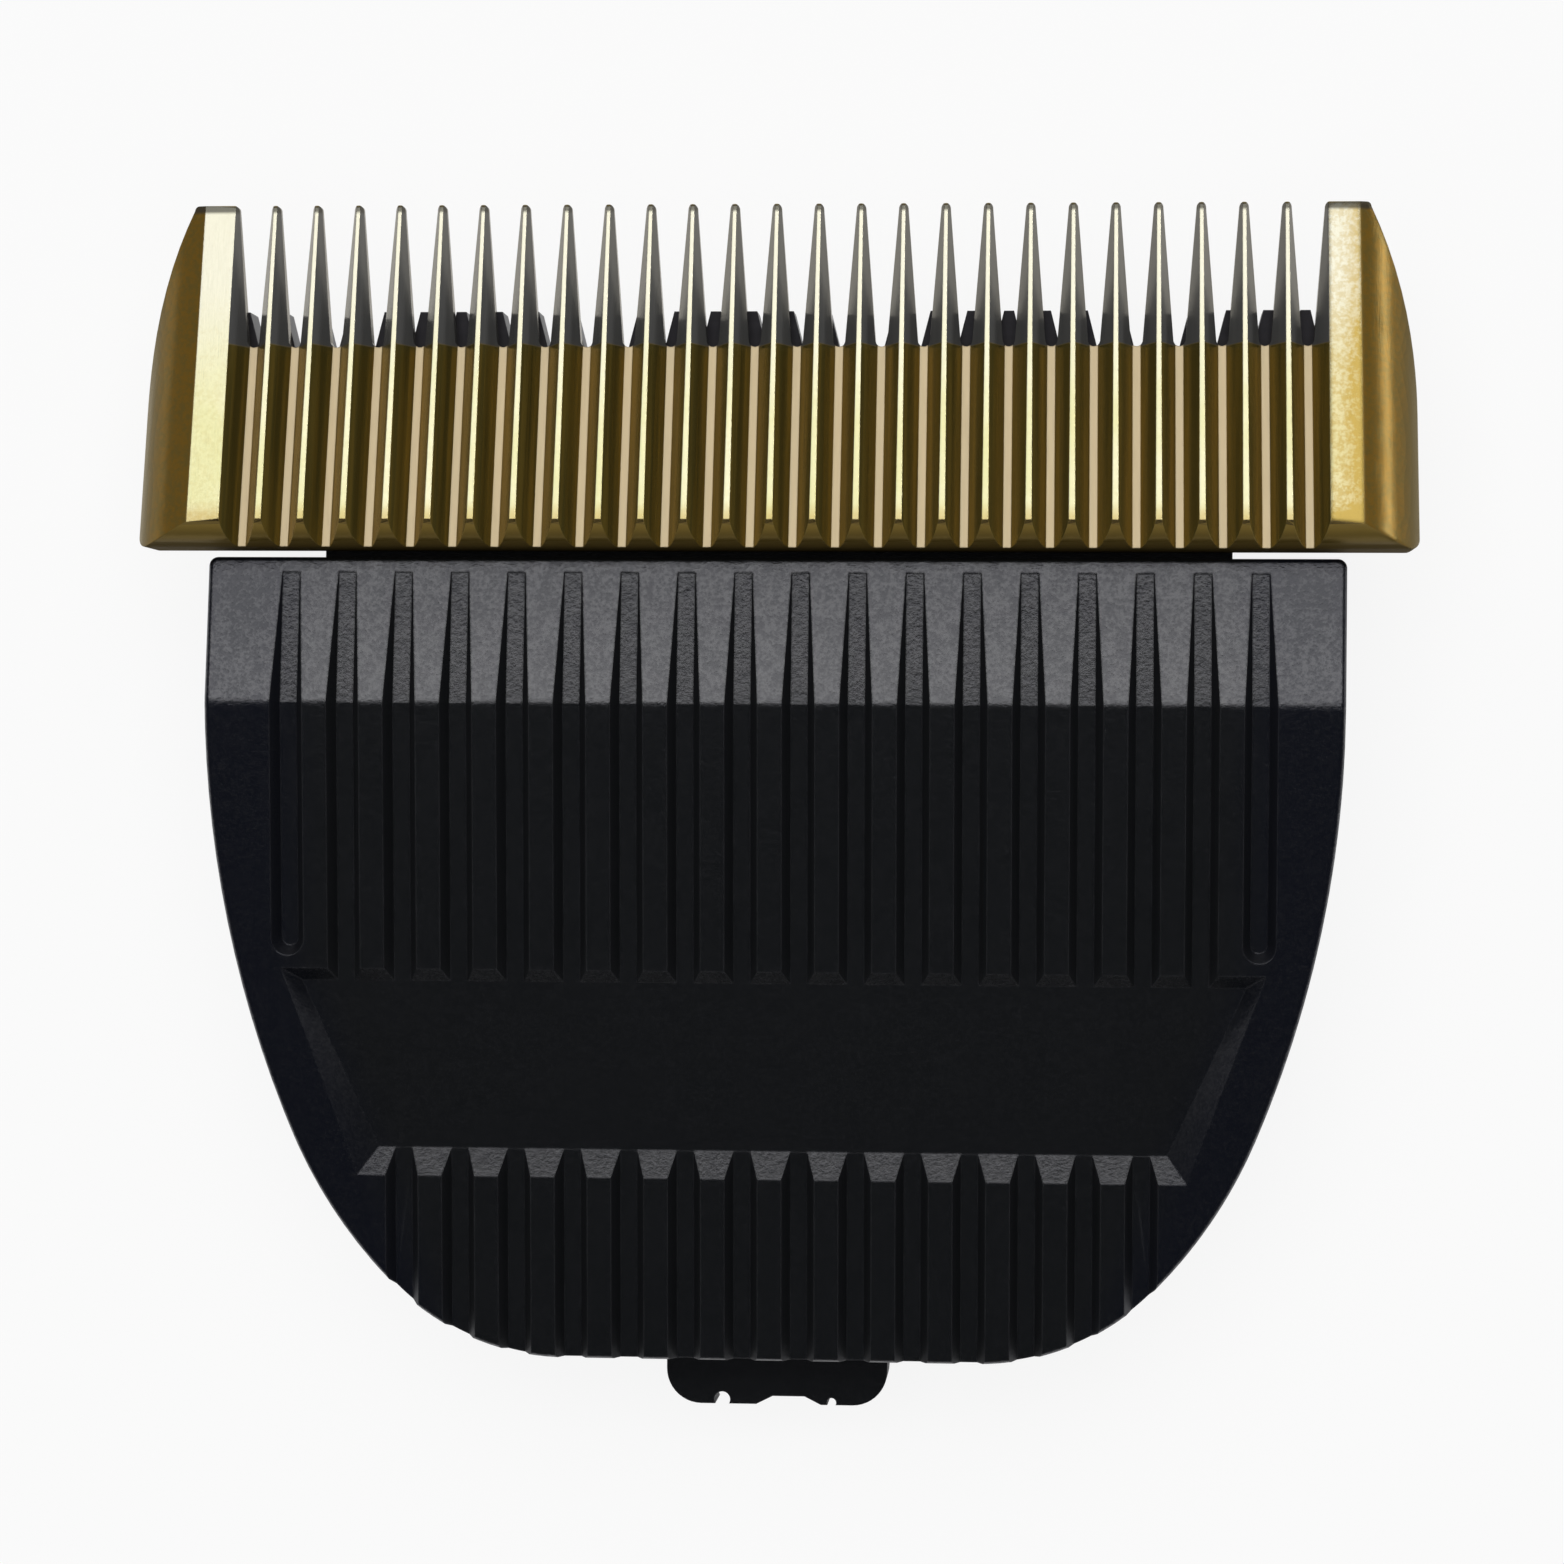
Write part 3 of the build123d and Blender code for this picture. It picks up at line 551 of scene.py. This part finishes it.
# white table: near white to the camera and in reflections, it keeps a soft shadow and is clear from below
def table_floor():
    low, high = -TABLE_HALF, TABLE_HALF
    mesh = bpy.data.meshes.new("table")
    mesh.from_pydata([(low, low, 0), (high, low, 0), (high, high, 0), (low, high, 0)], [], [(0, 1, 2, 3)])
    floor = bpy.data.objects.new("table", mesh)
    floor.location.z = -TABLE_DROP
    bpy.context.scene.collection.objects.link(floor)
    made = bpy.data.materials.new("white table")
    made.use_nodes = True
    made.node_tree.nodes.clear()
    t = Tree(made.node_tree)
    rays = t.add("ShaderNodeLightPath").outputs
    seen = t.math("MAXIMUM", t.math("MAXIMUM", rays["Is Camera Ray"], rays["Is Glossy Ray"]),
                  rays["Is Transmission Ray"])
    plain = t.add("ShaderNodeBsdfDiffuse", Color=rgb(0.90, 0.90, 0.90))
    bright = t.add("ShaderNodeEmission", Color=rgb(1.0, 1.0, 1.0), Strength=1.0)
    top = t.add("ShaderNodeMixShader")
    below = t.add("ShaderNodeMixShader")
    parts = (
        (top, t.math("MULTIPLY", seen, TABLE_WHITE), plain, bright),
        (below, t.add("ShaderNodeNewGeometry").outputs["Backfacing"], top, t.add("ShaderNodeBsdfTransparent")),
    )
    for mixer, *sockets in parts:
        for i, value in enumerate(sockets):
            t.feed(mixer, i, value)
    t.add("ShaderNodeOutputMaterial", Surface=below)
    mesh.materials.append(made)


def softbox(name, place, size, power):
    lamp = bpy.data.lights.new(name, "AREA")
    lamp.shape = "RECTANGLE"
    lamp.size, lamp.size_y = size
    lamp.energy = power
    made = bpy.data.objects.new(name, lamp)
    made.location = place
    made.rotation_mode = "QUATERNION"
    made.rotation_quaternion = (-Vector(place)).to_track_quat("-Z", "Y")
    bpy.context.scene.collection.objects.link(made)
    return made


def studio():
    table_floor()
    softbox("key softbox", *KEY_SOFTBOX)
    strip = softbox("comb strip", *COMB_STRIP)
    lit = bpy.data.collections.new("lit by the comb strip")
    lit.objects.link(nodes["comb_blade"])
    strip.light_linking.receiver_collection = lit
    fill = softbox("overhead fill", *OVERHEAD_FILL)
    fill.visible_glossy = False
    world = bpy.data.worlds.new("dim studio")
    bpy.context.scene.world = world
    world.use_nodes = True
    world.node_tree.nodes.clear()
    t = Tree(world.node_tree)
    upward = t.parts(t.add("ShaderNodeTexCoord").outputs["Generated"])[2]
    shade = t.mix(t.between(upward, 0.10, 0.75), rgb(0.17, 0.17, 0.175), rgb(0.038, 0.038, 0.040))
    rays = t.add("ShaderNodeLightPath").outputs
    mirrored = t.math("MAXIMUM", rays["Is Glossy Ray"], rays["Is Transmission Ray"])
    mirrored = t.math("MULTIPLY", mirrored, t.between(upward, 0.08, 0.02))
    shade = t.mix(t.math("MAXIMUM", rays["Is Camera Ray"], mirrored), shade, rgb(0.957, 0.957, 0.957))
    sky = t.add("ShaderNodeBackground", Color=shade, Strength=1.0)
    t.add("ShaderNodeOutputWorld", Surface=sky)


def photo_camera():
    data = bpy.data.cameras.new("camera")
    data.sensor_width = SENSOR_MM
    data.lens = FOCAL_PX / IMAGE_PX * SENSOR_MM
    data.clip_start = 1 * MM
    data.clip_end = 10.0
    camera = bpy.data.objects.new("camera", data)
    turn = Matrix.Rotation(CAMERA_ROLL, 3, "Z") @ Matrix.Rotation(CAMERA_PAN, 3, "Y")
    camera.matrix_world = Matrix.Translation(CAMERA_PLACE) @ turn.transposed().to_4x4()
    bpy.context.scene.collection.objects.link(camera)
    bpy.context.scene.camera = camera


studio()
photo_camera()
bpy.context.scene.view_settings.view_transform = "Standard"
